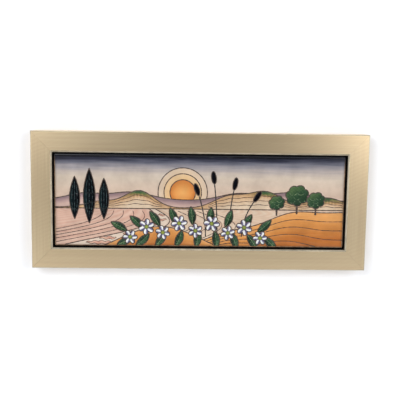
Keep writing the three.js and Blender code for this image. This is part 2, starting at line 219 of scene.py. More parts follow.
def place(points, mesh_faces, name, materials, smooth=True):
    """A piece from points in millimetres: x, depth in front of the wall, and height from the middle."""
    mesh = bpy.data.meshes.new(name)
    corners = np.asarray(points, float)
    moved = np.stack([corners[:, 0], -corners[:, 1], corners[:, 2] + MIDDLE_Z], axis=1) * MM
    mesh.from_pydata(moved.tolist(), [], mesh_faces)
    for material in materials:
        mesh.materials.append(material)
    mesh.polygons.foreach_set("use_smooth", [smooth] * len(mesh.polygons))
    mesh.validate()
    thing = bpy.data.objects.new(name, mesh)
    bpy.context.scene.collection.objects.link(thing)
    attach(thing, "root")
    return thing


def arc(centre, radius, start, end, steps):
    """Points on an arc, with its angles in degrees."""
    angles = [math.radians(start + (end - start) * i / steps) for i in range(steps + 1)]
    return [(centre[0] + radius * math.cos(a), centre[1] + radius * math.sin(a)) for a in angles]


def rail_section():
    """The moulding's section as (distance from the outer edge, depth), and the finish of each face."""
    sight = FACE_WIDTH
    strip = FACE_WIDTH - REBATE_WIDTH
    ease = 0.35
    section = [(0.25, 0), (strip - 0.2, 0), (strip, 0.2), (strip, REBATE_DEPTH), (sight, REBATE_DEPTH)]
    finish = [BARE] * (len(section) - 1) + [FOIL]
    section += arc((sight - ease, RAIL_DEPTH - SIGHT_BEVEL - 0.1), ease, 0, 45, 3)
    section += arc((sight - SIGHT_BEVEL - 0.3, RAIL_DEPTH - ease), ease, 45, 90, 3)
    finish += [WORN] * 7 + [FOIL]
    section += arc((ARRIS, RAIL_DEPTH - ARRIS), ARRIS, 90, 180, 6)
    finish += [WORN] * 6 + [FOIL]
    section += [(0, 0.25)]
    return section, finish + [BARE]


def stretched_noise(tree, along, coarse, fine, detail=4):
    """Noise drawn out along one axis of the object: waves a metre, along it and across it."""
    scale = [fine, fine, fine]
    scale[along] = coarse
    place_in = add(tree, "TexCoord")
    mapped = add(tree, "Mapping", {"Vector": place_in.outputs["Object"], "Scale": scale})
    values = {"Vector": mapped.outputs[0], "Scale": 1.0, "Detail": detail, "Roughness": 0.55}
    return add(tree, "TexNoise", values).outputs["Fac"]


def ramp(tree, source, stops):
    """A colour ramp over a source value, from (place, colour) stops."""
    node = add(tree, "ValToRGB", {"Fac": source})
    bands = node.color_ramp
    while len(bands.elements) < len(stops):
        bands.elements.new(0.5)
    for element, (at, colour) in zip(bands.elements, stops):
        element.position = at
        element.color = colour
    return node.outputs["Color"]


def spread(tree, source, low, high, from_low=0.0, from_high=1.0):
    """The source value carried over to another range."""
    values = {"Value": source, "From Min": from_low, "From Max": from_high, "To Min": low, "To Max": high}
    return add(tree, "MapRange", values).outputs["Result"]


def blended(tree, share, first, second):
    """Two colours mixed by a share."""
    return add(tree, "Mix", {0: share, 6: first, 7: second}, data_type="RGBA").outputs[2]


def brushed_foil(name, along):
    """Foil with fine brush lines along the rail, and a faint slanted hatch from the roller that laid it."""
    material, tree, shader = surface(name, srgb(234, 211, 170), {"Metallic": 1.0})
    fine = stretched_noise(tree, along, 16, 1300, detail=2)
    broad = stretched_noise(tree, along, 7, 420, detail=1)
    cloud = stretched_noise(tree, along, 11, 26, detail=2)
    place_in = add(tree, "TexCoord").outputs["Object"]
    slanted = add(tree, "Mapping", {"Vector": place_in, "Rotation": (0, math.radians(24), 0)}).outputs[0]
    waves = {"Vector": slanted, "Scale": 85.0, "Distortion": 2.0, "Detail": 1.0}
    reach = 0.16 if along == 2 else 0.06
    wave = add(tree, "TexWave", waves, bands_direction="Z").outputs["Fac"]
    sway = spread(tree, wave, -reach, reach)
    laid = spread(tree, cloud, 0.3, 1.4, 0.38, 0.62)
    hatch = add(tree, "Math", {0: sway, 1: laid}, operation="MULTIPLY").outputs[0]
    streak = add(tree, "Math", {0: fine, 1: broad}, operation="ADD").outputs[0]
    lines_and_hatch = add(tree, "Math", {0: streak, 1: hatch}, operation="ADD").outputs[0]
    gold = ramp(
        tree,
        spread(tree, lines_and_hatch, 0, 1, 0.6, 1.4),
        [(0.0, srgb(236, 211, 171)), (0.5, srgb(242, 218, 178)), (1.0, srgb(248, 227, 189))],
    )
    tree.links.new(
        blended(tree, spread(tree, cloud, 0, 0.5, 0.35, 0.7), gold, srgb(238, 212, 172)),
        shader.inputs["Base Color"],
    )
    tree.links.new(spread(tree, fine, 0.28, 0.3, 0.3, 0.7), shader.inputs["Roughness"])
    return material


def worn_foil():
    """The foil on the sharp edges, rubbed to a duller silver grey."""
    material, tree, shader = surface("worn_foil", srgb(190, 180, 160), {"Metallic": 1.0})
    rubbed = stretched_noise(tree, 1, 180, 180)
    grey = ramp(tree, rubbed, [(0.3, srgb(168, 157, 136)), (0.7, srgb(204, 194, 172))])
    tree.links.new(grey, shader.inputs["Base Color"])
    tree.links.new(spread(tree, rubbed, 0.42, 0.6, 0.3, 0.7), shader.inputs["Roughness"])
    return material


def bare_wood(name, along):
    material, tree, shader = surface(name, srgb(214, 184, 140), {"Specular IOR Level": 0.25})
    rings = stretched_noise(tree, along, 6, 210, detail=5)
    pores = stretched_noise(tree, along, 60, 1900, detail=2)
    wood = ramp(
        tree,
        rings,
        [(0.32, srgb(190, 152, 106)), (0.5, srgb(217, 187, 143)), (0.68, srgb(228, 203, 163))],
    )
    dark = spread(tree, pores, 0.0, 0.5, 0.58, 0.75)
    tree.links.new(blended(tree, dark, wood, srgb(150, 112, 76)), shader.inputs["Base Color"])
    tree.links.new(spread(tree, rings, 0.62, 0.8), shader.inputs["Roughness"])
    bump = add(tree, "Bump", {"Height": pores, "Strength": 0.3, "Distance": 0.0001})
    tree.links.new(bump.outputs[0], shader.inputs["Normal"])
    return material


def rail(name, turn, length, span, finishes):
    section, finish = rail_section()
    count = len(section)
    stations = 9
    points = []
    for step in range(stations):
        share = 2 * step / (stations - 1) - 1
        for from_edge, depth in section:
            along = share * (length / 2 - from_edge - MITRE_GAP / math.sqrt(2))
            height = span / 2 - from_edge
            points.append((
                along * math.cos(turn) + height * math.sin(turn),
                depth,
                height * math.cos(turn) - along * math.sin(turn),
            ))
    faces = []
    for step in range(stations - 1):
        for k in range(count):
            a = step * count + k
            b = step * count + (k + 1) % count
            faces.append((a, a + count, b + count, b))
    faces.append(tuple(range(count)))
    faces.append(tuple(range(count * stations - 1, count * (stations - 1) - 1, -1)))
    piece = place(points, faces, name, finishes)
    piece.data.polygons.foreach_set("material_index", finish * (stations - 1) + [BARE, BARE])
    ends = [math.dist(section[k], section[(k + 1) % count]) > 0.6 for k in range(count)]
    flat = ends * (stations - 1) + [True, True]
    piece.data.polygons.foreach_set("use_smooth", [not f for f in flat])
    return piece


edge_finish = worn_foil()
long_finishes = [brushed_foil("gold_foil_along_x", 0), bare_wood("bare_wood_along_x", 0), edge_finish]
short_finishes = [brushed_foil("gold_foil_along_z", 2), bare_wood("bare_wood_along_z", 2), edge_finish]
for end, turn, length, span, finishes in (
    ("top", 0, FRAME_WIDTH, FRAME_HEIGHT, long_finishes),
    ("right", math.pi / 2, FRAME_HEIGHT, FRAME_WIDTH, short_finishes),
    ("bottom", math.pi, FRAME_WIDTH, FRAME_HEIGHT, long_finishes),
    ("left", -math.pi / 2, FRAME_HEIGHT, FRAME_WIDTH, short_finishes),
):
    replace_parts(rail(f"rail_{end}", turn, length, span, finishes), f"frame_rail_{end}")

# Lining. Four thin strips of wood, painted matt black and glued to the rebate's sides, so that a black
# line shows round the tile. The long strips run through and the short ones stand between them.
LINING_EASE = 0.15


def matt_black():
    material, tree, shader = surface("matt_black", srgb(5, 4, 4), {"Specular IOR Level": 0.05})
    brush = stretched_noise(tree, 1, 500, 500)
    dust = stretched_noise(tree, 1, 90, 90, detail=5)
    black = ramp(tree, brush, [(0.3, srgb(2, 2, 2)), (0.7, srgb(7, 6, 6))])
    tree.links.new(
        blended(tree, spread(tree, dust, 0, 0.4, 0.66, 0.8), black, srgb(22, 20, 19)),
        shader.inputs["Base Color"],
    )
    tree.links.new(spread(tree, brush, 0.55, 0.8), shader.inputs["Roughness"])
    bump = add(tree, "Bump", {"Height": brush, "Strength": 0.3, "Distance": 0.0001})
    tree.links.new(bump.outputs[0], shader.inputs["Normal"])
    return material


def flat_stock(outlines, back, front, ease, name, materials, bends=(), shape=None):
    """A piece cut from flat stock: (x, height) outlines, with holes, between two depths, its edges eased.

    It is scored at the x places in bends, and shape(x) then carries it off its plane by that depth.
    """
    curve = bpy.data.curves.new(name, "CURVE")
    curve.dimensions = "2D"
    curve.fill_mode = "BOTH"
    curve.extrude = (front - back) / 2 - ease
    curve.bevel_depth = ease
    curve.bevel_resolution = 1
    curve.offset = -ease
    for outline in outlines:
        spline = curve.splines.new("POLY")
        spline.points.add(len(outline) - 1)
        spline.points.foreach_set("co", np.array([(x, z, 0, 1) for x, z in outline]).ravel())
        spline.use_cyclic_u = True
    holder = bpy.data.objects.new(name, curve)
    form = bmesh.new()
    form.from_mesh(holder.to_mesh())
    bpy.data.objects.remove(holder)
    bpy.data.curves.remove(curve)
    bmesh.ops.remove_doubles(form, verts=form.verts, dist=1e-4)
    bmesh.ops.dissolve_degenerate(form, edges=form.edges, dist=1e-4)
    for place_x in bends:
        everything = form.verts[:] + form.edges[:] + form.faces[:]
        bmesh.ops.bisect_plane(form, geom=everything, plane_co=(place_x, 0, 0), plane_no=(1, 0, 0))
    bmesh.ops.recalc_face_normals(form, faces=form.faces[:])
    form.verts.index_update()
    middle = (front + back) / 2
    points = [(v.co.x, middle + v.co.z - (shape(v.co.x) if shape else 0), v.co.y) for v in form.verts]
    faces = [tuple(v.index for v in face.verts) for face in form.faces]
    form.free()
    piece = place(points, faces, name, materials)
    piece.data.polygons.foreach_set("use_smooth", [len(face) == 4 for face in faces])
    return piece


def mm_box(node):
    """A CAD node's box as (left, right), (back, front) and (low, high), from the middle in millimetres."""
    low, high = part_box(node)
    return (
        (low.x / MM, high.x / MM),
        (-high.y / MM, -low.y / MM),
        (low.z / MM - MIDDLE_Z, high.z / MM - MIDDLE_Z),
    )


black_paint = matt_black()
for side in ("top", "bottom", "left", "right"):
    (left, right), (back, front), (low, high) = mm_box(f"lining_{side}")
    outline = [(left, low), (right, low), (right, high), (left, high)]
    strip = flat_stock([outline], back, front, LINING_EASE, f"lining_strip_{side}", [black_paint])
    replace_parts(strip, f"lining_{side}")

# The tile. A pressed slab with soft corners, glazed on its face and over its rounded rim, where the
# glaze runs thin and shows the buff clay. Its back is bare. It is glued to the board behind it.
tile_low, tile_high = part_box("tile")
LINE_HEIGHT = 0.75
LINE_WIDTH = 1.1
TILE_WIDTH = (tile_high.x - tile_low.x) / MM
TILE_HEIGHT = (tile_high.z - tile_low.z) / MM
TILE_BACK = -tile_high.y / MM
TILE_FACE = -tile_low.y / MM - LINE_HEIGHT
TILE_CORNER = 1.5
RIM_ROUND = 1.3
GLAZE_INSET = 1.4


def slab_outline(inset, corner_steps=6):
    radius = max(TILE_CORNER - inset, 0.25)
    x = TILE_WIDTH / 2 - inset - radius
    z = TILE_HEIGHT / 2 - inset - radius
    outline = []
    for quarter, (corner_x, corner_z) in enumerate(((x, z), (-x, z), (-x, -z), (x, -z))):
        outline += arc((corner_x, corner_z), radius, 90 * quarter, 90 * quarter + 90, corner_steps)
    return outline


def buff_clay():
    material, tree, shader = surface("buff_clay", srgb(214, 198, 172), {"Specular IOR Level": 0.2})
    grain = stretched_noise(tree, 1, 700, 700, detail=6)
    patches = stretched_noise(tree, 1, 45, 45, detail=2)
    clay = ramp(
        tree, grain, [(0.3, srgb(188, 168, 140)), (0.6, srgb(218, 203, 178)), (0.8, srgb(232, 220, 198))]
    )
    tree.links.new(
        blended(tree, spread(tree, patches, 0, 0.4, 0.4, 0.7), clay, srgb(196, 172, 140)),
        shader.inputs["Base Color"],
    )
    tree.links.new(spread(tree, grain, 0.75, 0.95), shader.inputs["Roughness"])
    bump = add(tree, "Bump", {"Height": grain, "Strength": 0.5, "Distance": 0.0002})
    tree.links.new(bump.outputs[0], shader.inputs["Normal"])
    return material


def rim_glaze():
    """Thin glaze on the rim: tan and grey, and darkening to ink towards the top edge."""
    material, tree, shader = surface("rim_glaze", srgb(160, 142, 120), {"Specular IOR Level": 0.45})
    spots = stretched_noise(tree, 1, 260, 260, detail=4)
    long_patches = stretched_noise(tree, 0, 22, 90, detail=3)
    tan = ramp(
        tree, spots, [(0.3, srgb(86, 62, 44)), (0.52, srgb(132, 104, 78)), (0.75, srgb(164, 140, 112))]
    )
    worn = blended(tree, spread(tree, long_patches, 0, 0.6, 0.4, 0.7), tan, srgb(92, 76, 64))
    height = add(tree, "SeparateXYZ", {0: add(tree, "TexCoord").outputs["Object"]}).outputs["Z"]
    top = (MIDDLE_Z + TILE_HEIGHT / 2) * MM
    ink = spread(tree, height, 0, 1, top - 14 * MM, top - 2 * MM)
    tree.links.new(blended(tree, ink, worn, srgb(26, 27, 36)), shader.inputs["Base Color"])
    tree.links.new(spread(tree, spots, 0.3, 0.5), shader.inputs["Roughness"])
    return material


def tile_body():
    back_ease = 0.4
    rings = [(TILE_BACK, back_ease), (TILE_BACK + back_ease, 0)]
    rim_steps = 6
    for i in range(rim_steps + 1):
        angle = math.pi / 2 * i / rim_steps
        rings.append((TILE_FACE - RIM_ROUND * (1 - math.sin(angle)), RIM_ROUND * (1 - math.cos(angle))))
    points = []
    for depth, inset in rings:
        points += [(x, depth, z) for x, z in slab_outline(inset)]
    count = len(points) // len(rings)
    faces = []
    glazed = []
    for ring in range(len(rings) - 1):
        for i in range(count):
            a = ring * count + i
            b = ring * count + (i + 1) % count
            faces.append((a, b, b + count, a + count))
            glazed.append(ring > 0)
    faces.append(tuple(range(count - 1, -1, -1)))
    faces.append(tuple(range(len(points) - count, len(points))))
    glazed += [False, True]
    body = place(points, faces, "tile_body", [buff_clay(), rim_glaze()])
    body.data.polygons.foreach_set("material_index", glazed)
    body.data.polygons.foreach_set("use_smooth", [True] * (len(faces) - 2) + [False, False])
    return body


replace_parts(tile_body(), "tile")

# The picture's design. Each motif is an area of glaze inside a piped line of slip, which keeps the
# glazes apart. Areas and lines are laid out here from the sky to the garland; a nearer area hides
# what lies behind it. Places are shares of the tile's half width and half height.
areas = []
lines = []
OVERRUN = 1.02
BELOW_TILE = -1.4
HORIZON = -0.17


def spot(share_x, share_z):
    return np.array((share_x * TILE_WIDTH / 2, share_z * TILE_HEIGHT / 2))


def area(glaze, outline, wash):
    """An area of glaze. wash(x, z) says how strong the glaze's second tone is, from 0 to 1."""
    areas.append((glaze, np.array(outline, float), wash))


def pipe(points, closed=False, width=LINE_WIDTH, height=LINE_HEIGHT, slip="brown"):
    """A piped line, over all areas so far and under all later ones."""
    lines.append((len(areas), np.array(points, float), closed, width, height, slip))


def outlined(glaze, outline, wash):
    area(glaze, outline, wash)
    pipe(outline, closed=True)


def turned(points, angle, at):
    c, s = math.cos(angle), math.sin(angle)
    return np.asarray(points, float) @ np.array(((c, s), (-s, c))) + np.asarray(at)


def unturned(x, z, angle, at):
    """Where picture points lie in a motif's own frame: along it and across it."""
    c, s = math.cos(angle), math.sin(angle)
    return c * (x - at[0]) + s * (z - at[1]), c * (z - at[1]) - s * (x - at[0])


def lens(length, width, bend, fullness, steps=16):
    """A leaf, blade or flame along +X, whose tip is carried sideways by bend."""
    t = np.linspace(0, 1, steps + 1)
    half = width / 2 * np.clip(np.sin(math.pi * t), 0, 1) ** fullness
    lower = np.stack([t * length, bend * t * t - half], axis=1)
    upper = np.stack([t * length, bend * t * t + half], axis=1)
    return np.concatenate([lower, upper[-2:0:-1]])


def circle(radius, steps):
    angles = np.arange(steps) * 2 * math.pi / steps
    return np.stack([radius * np.cos(angles), radius * np.sin(angles)], axis=1)


def lobed(radius, lobes, notch, squash, steps_each=12):
    """A round with lobes that meet in notches, such as petals or a clipped crown."""
    wave = np.abs(np.cos(math.pi * np.arange(lobes * steps_each) / steps_each)) ** 0.7
    points = circle(radius, lobes * steps_each) * (1 - notch + notch * wave)[:, None]
    return points * (1, squash)


def rise(value, start, end):
    """A smooth step from 0 at start to 1 at end."""
    share = np.clip((value - start) / (end - start), 0, 1)
    return share * share * (3 - 2 * share)


def ridge_height(ridge, x):
    """The height in millimetres of a ridge of soft humps at x."""
    base, humps = ridge
    share = 2 * np.asarray(x) / TILE_WIDTH
    top = base + sum(high * np.exp(-(((share - at) / wide) ** 2)) for high, at, wide in humps)
    return top * TILE_HEIGHT / 2


def across_tile(steps):
    return np.linspace(-OVERRUN, OVERRUN, steps + 1) * TILE_WIDTH / 2


def ground(glaze, top, wash):
    """All below a line across the tile, and the line itself."""
    area(glaze, [spot(-OVERRUN, BELOW_TILE), spot(OVERRUN, BELOW_TILE), *top[::-1]], wash)
    pipe(top)


def hill(glaze, ridge, wash, steps=110):
    x = across_tile(steps)
    ground(glaze, np.stack([x, ridge_height(ridge, x)], axis=1), wash)


# Sky, and a low sun with two rings of light
area("sky", slab_outline(GLAZE_INSET), lambda x, z: (2 * z / TILE_HEIGHT + 1) / 2)
SUN = spot(-0.12, 0.19)
SUN_RADIUS = 13
HALO_STEP = 6


def from_sun(x, z, reach):
    return np.hypot(x - SUN[0], z - SUN[1]) / reach


for glaze, radius in (
    ("outer_halo", SUN_RADIUS + 2 * HALO_STEP),
    ("inner_halo", SUN_RADIUS + HALO_STEP),
    ("sun", SUN_RADIUS),
):
    outlined(glaze, circle(radius, 64) + SUN, lambda x, z, reach=radius: from_sun(x, z, reach))

# Far hills in mauve, then bare sandy hills with green summits and contour lines
FAR_RIDGE = (0.02, ((0.17, -0.48, 0.2), (0.13, -0.8, 0.15), (0.15, 0.26, 0.18), (0.19, 0.63, 0.23)))
hill("mauve", FAR_RIDGE, lambda x, z: rise(ridge_height(FAR_RIDGE, x) - z, 0, 9))

SUMMITS = ((0.37, -0.42, 0.14), (0.37, 0.45, 0.16), (0.26, 0.87, 0.18))
SAND_FOOT = -0.15
SAND_RIDGE = (SAND_FOOT, ((0.13, -0.68, 0.14), (0.26, 0.2, 0.15), *SUMMITS))
CONTOUR_LEAST = 4.6


def sand_wash(x, z):
    below = ridge_height(SAND_RIDGE, x) - z
    share = 2 * x / TILE_WIDTH
    green = sum(np.exp(-(((share - at) / (0.55 * wide)) ** 2)) for _, at, wide in SUMMITS)
    ragged = 1.2 * np.sin(x * 1.9) + 0.8 * np.sin(x * 4.3 + 1)
    return np.clip(0.42 - 0.42 * green * (1 - rise(below + ragged, 3, 9)) + 0.045 * below, 0, 1)


hill("sand", SAND_RIDGE, sand_wash)
for share in (0.73, 0.46, 0.22):
    x = across_tile(260)
    level = spot(0, SAND_FOOT)[1]
    top = ridge_height(SAND_RIDGE, x)
    contour = np.stack([x, level + (top - level) * share + 0.35 * np.sin(x * 0.45)], axis=1)
    high = top - level > CONTOUR_LEAST
    starts = np.flatnonzero(high[1:] & ~high[:-1]) + 1
    for start in starts:
        stop = start + int(np.argmin(high[start:])) if not high[start:].all() else len(x)
        pipe(contour[start:stop], width=0.8, height=0.5)

# The plain: a winding river between ploughed fields, with drifting ripples
RIVER_MIDDLE = (-0.33, -0.34, 0.18, 4.2)
RIVER_HALF = (0.02, 0.136, 1.2)
RIPPLES = 7
SHORTEST_RIPPLE = 5
FURROWS = 5
river_share = np.linspace(0, 1, 40)


def river_at(t):
    start, drift, swing, bends = RIVER_MIDDLE
    middle = (start + drift * t + swing * np.sin(bends * t)) * TILE_WIDTH / 2
    half = (RIVER_HALF[0] + RIVER_HALF[1] * t ** RIVER_HALF[2]) * TILE_WIDTH / 2
    return middle, half, (HORIZON - t * (OVERRUN + HORIZON)) * TILE_HEIGHT / 2


def beside_river(side, step):
    """A furrow beside the river, step times as far out as the first one."""
    middle, half, z = river_at(river_share)
    return np.stack([middle + side * (half + step * (6 + 8 * river_share)), z], axis=1)


def river_distance(x, z):
    t = np.clip((HORIZON - 2 * z / TILE_HEIGHT) / (OVERRUN + HORIZON), 0, 1)
    middle, half, _ = river_at(t)
    return (x - middle) / half


horizon_line = np.stack([across_tile(60), np.full(61, spot(0, HORIZON)[1])], axis=1)
ground("water", horizon_line, lambda x, z: 0.5 + 0.4 * np.cos(1.4 * river_distance(x, z)))
for k in range(RIPPLES):
    t = 0.16 + 0.12 * k
    middle, half, z = river_at(np.float64(t))
    length = half * (1.5 - 0.25 * (k % 3))
    if length < SHORTEST_RIPPLE:
        continue
    wave = lens(length, 1.3 + 2.2 * t, 0, 0.6, 30)
    wave[:, 1] += 0.5 * np.sin(wave[:, 0] * 0.9 + k)
    shift = half * (0.3 - 0.3 * (k % 3)) - length / 2
    outline = wave + (middle + shift, z)
    area("ripple", outline, lambda x, z: 0.5 + 0.5 * np.sin(x * 0.5))
    pipe(outline, closed=True, width=0.8, height=0.5)
for side, glaze in ((-1, "pink_field"), (1, "peach_field")):
    bank = beside_river(side, 0)
    far = [spot(side * OVERRUN, -OVERRUN), spot(side * OVERRUN, HORIZON)]
    outline = np.concatenate([bank, far]) if side > 0 else np.concatenate([bank, far])[::-1]
    area(glaze, outline, lambda x, z: 0.5 + 0.35 * np.sin(river_distance(x, z) * 2.6))
    pipe(horizon_line)
    pipe(bank)
    for step in range(1, FURROWS + 1):
        pipe(beside_river(side, 1.5 * step)[2:], width=0.9, height=0.5)

# Two near hills in orange; the right one is ploughed along its slope
NEAR_HILL = (-1, ((0.73, 0.65, 0.31), (0.65, 1.09, 0.27), (0.26, 0.2, 0.23)))
MOUND = (-1.29, ((0.73, -0.27, 0.42),))
hill("orange", NEAR_HILL, lambda x, z: rise(ridge_height(NEAR_HILL, x) - z, -2, 34))
for furrow in range(1, 7):
    x = np.linspace(-0.02, OVERRUN, 90) * TILE_WIDTH / 2
    drop = furrow * (2 + 4 * (1 + np.tanh((x - 75) / 50)))
    pipe(np.stack([x, ridge_height(NEAR_HILL, x) - drop], axis=1), width=0.9, height=0.5)
hill("orange", MOUND, lambda x, z: rise(ridge_height(MOUND, x) - z, -4, 24))

# Three cypresses on the left and three clipped trees on the right
CYPRESS_HEIGHT = 56
CYPRESS_WIDTH = 12
CROWN_RADIUS = 12
TRUNK_WIDTH = 2.2


def tone_across(x, z, angle, at, wide):
    """A tone that goes from one side of an upright motif to the other."""
    return 0.5 + unturned(x, z, angle, at)[1] / wide


def crown_tone(x, z, middle, radius):
    """Paler towards the upper left of a clipped crown, and mottled like its leaves."""
    raised = (z - middle[1] - 0.6 * (x - middle[0])) / radius
    return 0.5 + 0.35 * raised + 0.12 * np.sin(x * 1.7) * np.sin(z * 1.9)


for foot, size in (((-0.86, -0.41), 0.78), ((-0.76, -0.5), 1), ((-0.66, -0.41), 0.75)):
    at = spot(*foot)
    tall = CYPRESS_HEIGHT * size
    wide = CYPRESS_WIDTH * size**0.6
    flame = turned(lens(tall, wide, 0, 0.9, 30), math.pi / 2, at)
    outlined("cypress", flame, lambda x, z, at=at, wide=wide: tone_across(x, z, math.pi / 2, at, wide))
    for row in range(-1, 2):
        along = np.linspace(0.14 + 0.05 * abs(row), 0.88 - 0.08 * abs(row), 24)
        sway = wide * 0.27 * row * np.sin(math.pi * along)
        stroke = turned(np.stack([along * tall, sway], axis=1), math.pi / 2, at)
        pipe(stroke, width=0.8, height=0.4, slip="teal")
for foot, size in (((0.53, -0.3), 0.7), ((0.67, -0.26), 1), ((0.8, -0.28), 0.8)):
    radius = CROWN_RADIUS * size
    at = spot(*foot)
    pipe([at, at + (0, radius * 0.5), at + (0, radius)], width=TRUNK_WIDTH)
    middle = at + (0, 1.6 * radius)
    outlined(
        "crown",
        turned(lobed(radius, 7, 0.16, 0.88), 0.3, middle),
        lambda x, z, middle=middle, radius=radius: crown_tone(x, z, middle, radius),
    )
    for shift_x, shift_z in ((-0.35, 0.3), (0.3, 0.35), (0, -0.05), (-0.45, -0.35), (0.42, -0.3)):
        swag = circle(radius * 0.3, 24)[13:24] + middle + (shift_x * radius, shift_z * radius)
        pipe(swag, width=0.6, height=0.35, slip="moss")

# Bulrushes that rise out of the garland
REED_HEIGHT = 54
REED_HEAD = (13, 4.8)
REED_ROOT = -0.77
STEM_WIDTH = 1.3
for foot, size, lean in ((0.04, 0.78, -0.17), (0.12, 1, -0.06), (0.2, 0.89, 0.1), (0.29, 0.67, 0.33)):
    at = spot(foot, REED_ROOT)
    tall = REED_HEIGHT * size
    t = np.linspace(0, 1, 30)
    stem = np.stack([at[0] + lean * tall * t * t, at[1] + tall * t], axis=1)
    pipe(stem, width=STEM_WIDTH, slip="ink")
    upright = math.pi / 2 - math.atan(2 * lean)
    outlined(
        "bulrush",
        turned(lens(*REED_HEAD, 0, 0.45, 20), upright, stem[-1]),
        lambda x, z, angle=upright, tip=stem[-1]: tone_across(x, z, angle, tip, REED_HEAD[1]),
    )

# The garland: leaves that fan out along a low arch, and six-petalled flowers over them
FLOWER_COUNT = 9
FLOWER_RADIUS = 7.8
PETALS = 6
EYE_RADIUS = 2.2
LEAF = (19, 7.6)
LEAF_BEND = 2
garland = []
for k in range(FLOWER_COUNT):
    t = k / (FLOWER_COUNT - 1)
    garland.append((t, spot(-0.48 + 0.9 * t, -0.73 + 0.15 * math.sin(math.pi * t))))


def leaf(angle, bend, at):
    length, width = LEAF

    def wash(x, z):
        along, across = unturned(x, z, angle, at)
        u = np.clip(along / length, 0, 1)
        v = (across - bend * u * u) / (width / 2)
        return 0.2 + 0.45 * u + 0.22 * np.tanh(4 * v) + 0.1 * np.sin(along * 2.2 + 2 * np.abs(v))

    outlined("leaf", turned(lens(length, width, bend, 0.8, 20), angle, at), wash)
    t = np.linspace(0.04, 0.93, 20)
    midrib = turned(np.stack([t * length, bend * t * t], axis=1), angle, at)
    pipe(midrib, width=0.55, height=0.3, slip="moss")
    out = np.linspace(0, 0.62, 6)
    for vein in (0.25, 0.42, 0.59, 0.74):
        half = width / 2 * math.sin(math.pi * (vein + 0.08)) ** 0.8
        along = vein + 0.16 * out
        for side in (-1, 1):
            path = np.stack([along * length, bend * along**2 + side * half * out], axis=1)
            pipe(turned(path, angle, at), width=0.4, height=0.2, slip="moss")


for t, at in garland:
    fan = math.pi * (0.8 - 0.6 * t)
    leaf(fan, LEAF_BEND, at + (-3, 3))
    leaf(-fan, -LEAF_BEND, at + (3, -2))


def flower(radius, turn, at):
    def wash(x, z):
        angle = np.arctan2(z - at[1], x - at[0]) - turn
        petal = (angle * PETALS / (2 * math.pi) + 0.5) % 1 - 0.5
        out = np.hypot(x - at[0], z - at[1]) / radius
        shaded = rise(petal, -0.02, 0.14) * (1 - 0.25 * rise(out, 0.5, 0.95))
        return np.clip(shaded + 0.35 * (1 - rise(out, 0.2, 0.5)), 0, 1)

    outlined("petals", turned(lobed(radius, PETALS, 0.45, 1), turn, at), wash)
    for k in range(PETALS):
        notch = turn + (k + 0.5) * 2 * math.pi / PETALS
        way = np.array((math.cos(notch), math.sin(notch)))
        pipe([at + way * r for r in np.linspace(EYE_RADIUS, radius * 0.56, 6)], width=0.7, height=0.5)
        axis = turn + k * 2 * math.pi / PETALS
        way = np.array((math.cos(axis), math.sin(axis)))
        crease = [at + way * r for r in np.linspace(EYE_RADIUS + 0.5, radius * 0.7, 6)]
        pipe(crease, width=0.4, height=0.2, slip="lilac")
    area("eye", circle(EYE_RADIUS, 24) + at, lambda x, z: np.hypot(x - at[0], z - at[1]) / EYE_RADIUS)
    pipe(circle(EYE_RADIUS, 24) + at, closed=True, width=0.7, height=0.5)
    for dot in circle(EYE_RADIUS * 0.45, 5) + at:
        pipe(circle(0.12, 6) + dot, closed=True, width=0.35, height=0.35, slip="cream")


for k, (t, at) in enumerate(garland):
    high = k % 2 == 1
    flower(FLOWER_RADIUS * (1.05 if high else 0.95), 0.4 * k, at + (0, 5 if high else -3))

# The slip lines. Liquid clay is piped through a fine nozzle along the drawing, and stands up as a
# half-round thread. Only the stretches that no nearer area hides are piped.
STEP = 0.55
SLIP_SINK = 0.12
FIRM_LINE = 0.3
face_edge = np.array(slab_outline(GLAZE_INSET))


def inside(points, outline):
    """Which points lie inside a closed outline."""
    x, z = points[:, 0:1], points[:, 1:2]
    x0, z0 = outline[:, 0], outline[:, 1]
    x1, z1 = np.roll(x0, -1), np.roll(z0, -1)
    rising = (z0 > z) != (z1 > z)
    run = np.where(z1 == z0, 1, z1 - z0)
    return (rising & (x < x0 + (z - z0) / run * (x1 - x0))).sum(axis=1) % 2 == 1


def evenly(points, closed):
    """The same line with its points a step apart."""
    path = np.concatenate([points, points[:1]]) if closed else points
    lengths = np.concatenate([[0], np.cumsum(np.hypot(*np.diff(path, axis=0).T))])
    count = max(int(round(lengths[-1] / STEP)), 3)
    at = np.linspace(0, lengths[-1], count + 1)
    if closed:
        at = at[:-1]
    return np.stack([np.interp(at, lengths, path[:, 0]), np.interp(at, lengths, path[:, 1])], axis=1)


def visible_runs(order, points, closed):
    """The stretches of a line that show, each as (points, whether it is a whole ring)."""
    shown = inside(points, face_edge)
    for glaze, outline, wash in areas[order:]:
        shown &= ~inside(points, outline)
    if closed and shown.all():
        return [(points, True)]
    if not shown.any():
        return []
    if closed:
        start = int(np.argmin(shown))
        points = np.roll(points, -start, axis=0)
        shown = np.roll(shown, -start)
    edges = np.flatnonzero(np.diff(np.concatenate([[0], shown.astype(int), [0]])))
    runs = []
    for first, last in zip(edges[::2], edges[1::2]):
        if last - first >= 2:
            runs.append((points[max(first - 1, 0):last + 1], False))
    return runs


